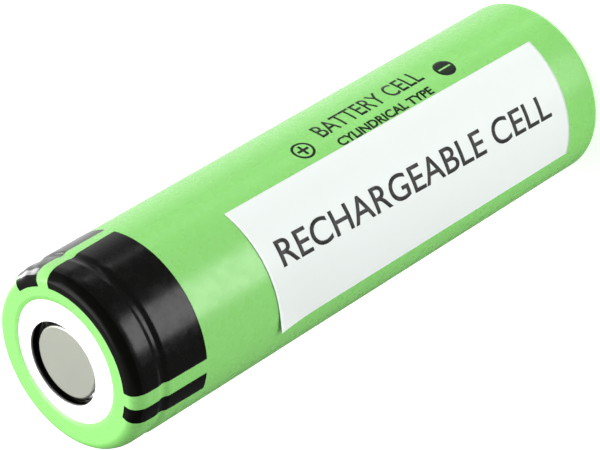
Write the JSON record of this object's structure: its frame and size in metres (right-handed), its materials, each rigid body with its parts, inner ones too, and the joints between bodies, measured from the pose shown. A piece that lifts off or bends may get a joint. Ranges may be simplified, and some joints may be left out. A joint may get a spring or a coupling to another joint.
{
  "type": "cylindrical battery cell",
  "caption": "Round rechargeable lithium-ion cell in a green shrink sleeve, with a flat recessed positive contact, black print band, paper label and full inner build.",
  "frame": {"origin": "centre of the negative end, on the surface the cell stands on", "axes": "+Z along the cell's axis towards the positive end; the paper label is centred on -Y"},
  "size_m": [0.0184, 0.0185, 0.0652],
  "materials": {
    "green_film": "yellow-green shrink film, satin gloss, with plain black printed blocks at the positive end",
    "black_ink": "glossy black printing ink on the sleeve",
    "label_paper": "coated white label paper, satin",
    "label_ink": "dark grey printed lettering",
    "white_fibre": "white vulcanised fibre, matt",
    "nickel_steel": "nickel-plated deep-drawn steel, satin",
    "nickel_strip": "bright rolled nickel",
    "aluminium_sheet": "pressed aluminium sheet, satin",
    "ptc_polymer": "carbon-filled polymer between metal foils",
    "white_plastic": "moulded polypropylene, slightly milky",
    "insulator_film": "polyester film disc",
    "cathode_coating": "pressed dark oxide coating on foil",
    "anode_coating": "pressed graphite coating on copper foil",
    "separator_film": "microporous film, matt white",
    "roll_tape": "thin green fixing tape",
    "amber_tape": "amber polyimide tape"
  },
  "bodies": {
    "root": {"shrink_sleeve": "green_film", "paper_label": "label_paper", "top_insulator_washer": "white_fibre", "can": "nickel_steel", "positive_cap": "nickel_steel", "ptc_ring": "ptc_polymer", "vent_disc": "aluminium_sheet", "cid_insulator": "white_plastic", "cid_plate": "aluminium_sheet", "cap_gasket": "white_plastic", "top_insulator_disc": "insulator_film", "bottom_insulator_disc": "insulator_film", "cathode_strip": "cathode_coating", "anode_strip": "anode_coating", "separator_inner": "separator_film", "separator_outer": "separator_film", "roll_tape_upper": "roll_tape", "roll_tape_lower": "roll_tape", "positive_tab": "aluminium_sheet", "positive_tab_tape": "amber_tape", "negative_tab": "nickel_strip", "negative_tab_tape": "amber_tape"}
  },
  "joints": []
}
